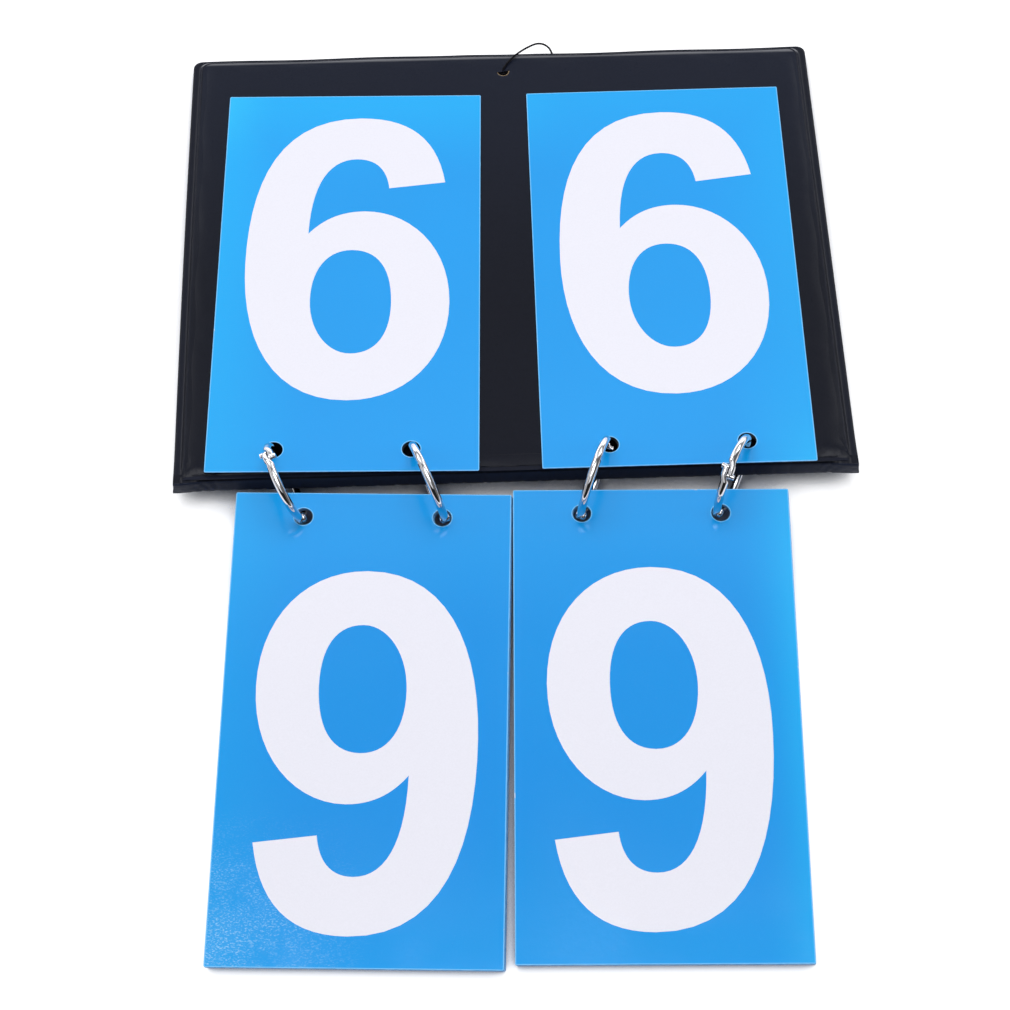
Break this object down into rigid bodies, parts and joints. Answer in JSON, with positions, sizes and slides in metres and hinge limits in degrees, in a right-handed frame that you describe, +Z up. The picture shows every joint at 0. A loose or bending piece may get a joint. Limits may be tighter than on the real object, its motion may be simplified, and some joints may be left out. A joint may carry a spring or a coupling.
{
  "type": "flip scoreboard",
  "caption": "Folding flip scoreboard lying flat: hinged book rings carry columns of numbered leaves on stiff covered panels, with a tie string.",
  "frame": {"origin": "on the table, at the middle of the laid-out length and width", "axes": "+X to the right along the spine, +Y from the flipped leaves towards the panels' far edge, +Z up"},
  "size_m": [0.24, 0.3793, 0.031],
  "materials": {
    "cover_sheet": "leather-grained soft PVC sheet",
    "board_grey": "uncoated grey chipboard",
    "leaf_blue": "glossy printed plastic",
    "ring_steel": "bright nickel plate",
    "cord_black": "twisted thread"
  },
  "bodies": {
    "back_panel": {"back_cover": "cover_sheet", "back_board": "board_grey", "back_lining": "cover_sheet", "spine_web": "cover_sheet", "back_knot": "cord_black"},
    "front_panel": {"front_cover": "cover_sheet", "front_board": "board_grey", "front_lining": "cover_sheet", "front_knot": "cord_black", "tie_cord": "cord_black"},
    "left_leaf_10": {"left_leaf_10": "leaf_blue"},
    "left_leaf_01": {"left_leaf_01": "leaf_blue"},
    "left_leaf_02": {"left_leaf_02": "leaf_blue"},
    "left_leaf_03": {"left_leaf_03": "leaf_blue"},
    "left_leaf_04": {"left_leaf_04": "leaf_blue"},
    "left_leaf_05": {"left_leaf_05": "leaf_blue"},
    "left_leaf_06": {"left_leaf_06": "leaf_blue"},
    "left_leaf_07": {"left_leaf_07": "leaf_blue"},
    "left_leaf_08": {"left_leaf_08": "leaf_blue"},
    "left_leaf_09": {"left_leaf_09": "leaf_blue"},
    "left_front_leaf": {"left_front_leaf": "leaf_blue"},
    "ring_1_fixed": {"ring_1_fixed_half": "ring_steel", "ring_1_pin": "ring_steel"},
    "ring_1_moving": {"ring_1_moving_half": "ring_steel"},
    "ring_2_fixed": {"ring_2_fixed_half": "ring_steel", "ring_2_pin": "ring_steel"},
    "ring_2_moving": {"ring_2_moving_half": "ring_steel"},
    "right_leaf_10": {"right_leaf_10": "leaf_blue"},
    "right_leaf_01": {"right_leaf_01": "leaf_blue"},
    "right_leaf_02": {"right_leaf_02": "leaf_blue"},
    "right_leaf_03": {"right_leaf_03": "leaf_blue"},
    "right_leaf_04": {"right_leaf_04": "leaf_blue"},
    "right_leaf_05": {"right_leaf_05": "leaf_blue"},
    "right_leaf_06": {"right_leaf_06": "leaf_blue"},
    "right_leaf_07": {"right_leaf_07": "leaf_blue"},
    "right_leaf_08": {"right_leaf_08": "leaf_blue"},
    "right_leaf_09": {"right_leaf_09": "leaf_blue"},
    "right_front_leaf": {"right_front_leaf": "leaf_blue"},
    "ring_3_fixed": {"ring_3_fixed_half": "ring_steel", "ring_3_pin": "ring_steel"},
    "ring_3_moving": {"ring_3_moving_half": "ring_steel"},
    "ring_4_fixed": {"ring_4_fixed_half": "ring_steel", "ring_4_pin": "ring_steel"},
    "ring_4_moving": {"ring_4_moving_half": "ring_steel"}
  },
  "joints": [
    {"name": "tent_open", "type": "hinge", "parent": "back_panel", "child": "front_panel", "pos_m": [0, -0.0112, 0.0153], "axis": [1, 0, 0], "range_deg": [0, 22]},
    {"name": "left_shift", "type": "slide", "parent": "back_panel", "child": "left_leaf_10", "axis": [-0.999, 0.045, 0], "range_m": [0, 0.00938]},
    {"name": "left_flip", "type": "hinge", "parent": "left_leaf_10", "child": "left_leaf_01", "pos_m": [-0.05045, -0.01291, 0.01711], "axis": [-0.999, 0.045, 0], "range_deg": [0, 140]},
    {"name": "left_fan_02", "type": "hinge", "parent": "left_leaf_10", "child": "left_leaf_02", "pos_m": [-0.05045, -0.01291, 0.01711], "axis": [-0.999, 0.045, 0], "range_deg": [0, 125.8]},
    {"name": "left_fan_03", "type": "hinge", "parent": "left_leaf_10", "child": "left_leaf_03", "pos_m": [-0.05045, -0.01291, 0.01711], "axis": [-0.999, 0.045, 0], "range_deg": [0, 111.1]},
    {"name": "left_fan_04", "type": "hinge", "parent": "left_leaf_10", "child": "left_leaf_04", "pos_m": [-0.05045, -0.01291, 0.01711], "axis": [-0.999, 0.045, 0], "range_deg": [0, 96.4]},
    {"name": "left_fan_05", "type": "hinge", "parent": "left_leaf_10", "child": "left_leaf_05", "pos_m": [-0.05045, -0.01291, 0.01711], "axis": [-0.999, 0.045, 0], "range_deg": [0, 81.7]},
    {"name": "left_fan_06", "type": "hinge", "parent": "left_leaf_10", "child": "left_leaf_06", "pos_m": [-0.05045, -0.01291, 0.01711], "axis": [-0.999, 0.045, 0], "range_deg": [0, 67]},
    {"name": "left_fan_07", "type": "hinge", "parent": "left_leaf_10", "child": "left_leaf_07", "pos_m": [-0.05045, -0.01291, 0.01711], "axis": [-0.999, 0.045, 0], "range_deg": [0, 52.3]},
    {"name": "left_fan_08", "type": "hinge", "parent": "left_leaf_10", "child": "left_leaf_08", "pos_m": [-0.05045, -0.01291, 0.01711], "axis": [-0.999, 0.045, 0], "range_deg": [0, 37.6]},
    {"name": "left_fan_09", "type": "hinge", "parent": "left_leaf_10", "child": "left_leaf_09", "pos_m": [-0.05045, -0.01291, 0.01711], "axis": [-0.999, 0.045, 0], "range_deg": [0, 22.9]},
    {"name": "left_front_lift", "type": "hinge", "parent": "front_panel", "child": "left_front_leaf", "pos_m": [-0.06154, -0.01291, 0.01711], "axis": [1, 0, 0], "range_deg": [0, 18]},
    {"name": "ring_1_sway", "type": "hinge", "parent": "back_panel", "child": "ring_1_fixed", "pos_m": [-0.08497, 0.00327, 0.01282], "axis": [-0.2603, 0.7562, -0.6004], "range_deg": [0, 24.5]},
    {"name": "ring_1_open", "type": "hinge", "parent": "ring_1_fixed", "child": "ring_1_moving", "pos_m": [-0.07591, -0.02197, 0.0099], "axis": [-0.9125, -0.2947, -0.2838], "range_deg": [-33, 0]},
    {"name": "ring_2_sway", "type": "hinge", "parent": "back_panel", "child": "ring_2_fixed", "pos_m": [-0.03563, 0.00123, 0.0132], "axis": [-0.0993, 0.2916, -0.9514], "range_deg": [0, 21.68]},
    {"name": "ring_2_open", "type": "hinge", "parent": "ring_2_fixed", "child": "ring_2_moving", "pos_m": [-0.02564, -0.02365, 0.01018], "axis": [-0.9251, -0.355, -0.135], "range_deg": [-40, 0]},
    {"name": "right_shift", "type": "slide", "parent": "back_panel", "child": "right_leaf_10", "axis": [0.9996, -0.0274, 0], "range_m": [0, 0.0095]},
    {"name": "right_flip", "type": "hinge", "parent": "right_leaf_10", "child": "right_leaf_01", "pos_m": [0.04717, -0.01222, 0.01619], "axis": [-0.9996, 0.0274, 0], "range_deg": [0, 140]},
    {"name": "right_fan_02", "type": "hinge", "parent": "right_leaf_10", "child": "right_leaf_02", "pos_m": [0.04717, -0.01222, 0.01619], "axis": [-0.9996, 0.0274, 0], "range_deg": [0, 125.8]},
    {"name": "right_fan_03", "type": "hinge", "parent": "right_leaf_10", "child": "right_leaf_03", "pos_m": [0.04717, -0.01222, 0.01619], "axis": [-0.9996, 0.0274, 0], "range_deg": [0, 111.1]},
    {"name": "right_fan_04", "type": "hinge", "parent": "right_leaf_10", "child": "right_leaf_04", "pos_m": [0.04717, -0.01222, 0.01619], "axis": [-0.9996, 0.0274, 0], "range_deg": [0, 96.4]},
    {"name": "right_fan_05", "type": "hinge", "parent": "right_leaf_10", "child": "right_leaf_05", "pos_m": [0.04717, -0.01222, 0.01619], "axis": [-0.9996, 0.0274, 0], "range_deg": [0, 81.7]},
    {"name": "right_fan_06", "type": "hinge", "parent": "right_leaf_10", "child": "right_leaf_06", "pos_m": [0.04717, -0.01222, 0.01619], "axis": [-0.9996, 0.0274, 0], "range_deg": [0, 67]},
    {"name": "right_fan_07", "type": "hinge", "parent": "right_leaf_10", "child": "right_leaf_07", "pos_m": [0.04717, -0.01222, 0.01619], "axis": [-0.9996, 0.0274, 0], "range_deg": [0, 52.3]},
    {"name": "right_fan_08", "type": "hinge", "parent": "right_leaf_10", "child": "right_leaf_08", "pos_m": [0.04717, -0.01222, 0.01619], "axis": [-0.9996, 0.0274, 0], "range_deg": [0, 37.6]},
    {"name": "right_fan_09", "type": "hinge", "parent": "right_leaf_10", "child": "right_leaf_09", "pos_m": [0.04717, -0.01222, 0.01619], "axis": [-0.9996, 0.0274, 0], "range_deg": [0, 22.9]},
    {"name": "right_front_lift", "type": "hinge", "parent": "front_panel", "child": "right_front_leaf", "pos_m": [0.05776, -0.01222, 0.01619], "axis": [1, 0, 0], "range_deg": [0, 18]},
    {"name": "ring_3_sway", "type": "hinge", "parent": "back_panel", "child": "ring_3_fixed", "pos_m": [0.03203, 0.00102, 0.01328], "axis": [-0.1398, -0.0977, 0.9853], "range_deg": [0, 21.24]},
    {"name": "ring_3_open", "type": "hinge", "parent": "ring_3_fixed", "child": "ring_3_moving", "pos_m": [0.0223, -0.02396, 0.01024], "axis": [-0.9326, 0.3548, 0.0664], "range_deg": [-40, 0]},
    {"name": "ring_4_sway", "type": "hinge", "parent": "back_panel", "child": "ring_4_fixed", "pos_m": [0.08213, -0.0005, 0.01331], "axis": [-0.084, 0.0233, 0.9962], "range_deg": [0, 24.8]},
    {"name": "ring_4_open", "type": "hinge", "parent": "ring_4_fixed", "child": "ring_4_moving", "pos_m": [0.07034, -0.02458, 0.01025], "axis": [-0.8972, 0.4413, -0.0171], "range_deg": [-40, 0]}
  ],
  "couplings": [
    {"joint": "left_fan_02", "follows": "left_flip", "ratio": 0.895},
    {"joint": "left_fan_03", "follows": "left_flip", "ratio": 0.79},
    {"joint": "left_fan_04", "follows": "left_flip", "ratio": 0.685},
    {"joint": "left_fan_05", "follows": "left_flip", "ratio": 0.58},
    {"joint": "left_fan_06", "follows": "left_flip", "ratio": 0.475},
    {"joint": "left_fan_07", "follows": "left_flip", "ratio": 0.37},
    {"joint": "left_fan_08", "follows": "left_flip", "ratio": 0.265},
    {"joint": "left_fan_09", "follows": "left_flip", "ratio": 0.16},
    {"joint": "left_shift", "follows": "left_flip", "m_per_rad": 0.0037971},
    {"joint": "ring_1_sway", "follows": "left_flip", "ratio": 0.17287},
    {"joint": "ring_2_sway", "follows": "left_flip", "ratio": 0.15269},
    {"joint": "right_fan_02", "follows": "right_flip", "ratio": 0.895},
    {"joint": "right_fan_03", "follows": "right_flip", "ratio": 0.79},
    {"joint": "right_fan_04", "follows": "right_flip", "ratio": 0.685},
    {"joint": "right_fan_05", "follows": "right_flip", "ratio": 0.58},
    {"joint": "right_fan_06", "follows": "right_flip", "ratio": 0.475},
    {"joint": "right_fan_07", "follows": "right_flip", "ratio": 0.37},
    {"joint": "right_fan_08", "follows": "right_flip", "ratio": 0.265},
    {"joint": "right_fan_09", "follows": "right_flip", "ratio": 0.16},
    {"joint": "right_shift", "follows": "right_flip", "m_per_rad": 0.0038462},
    {"joint": "ring_3_sway", "follows": "right_flip", "ratio": 0.14954},
    {"joint": "ring_4_sway", "follows": "right_flip", "ratio": 0.17503}
  ]
}
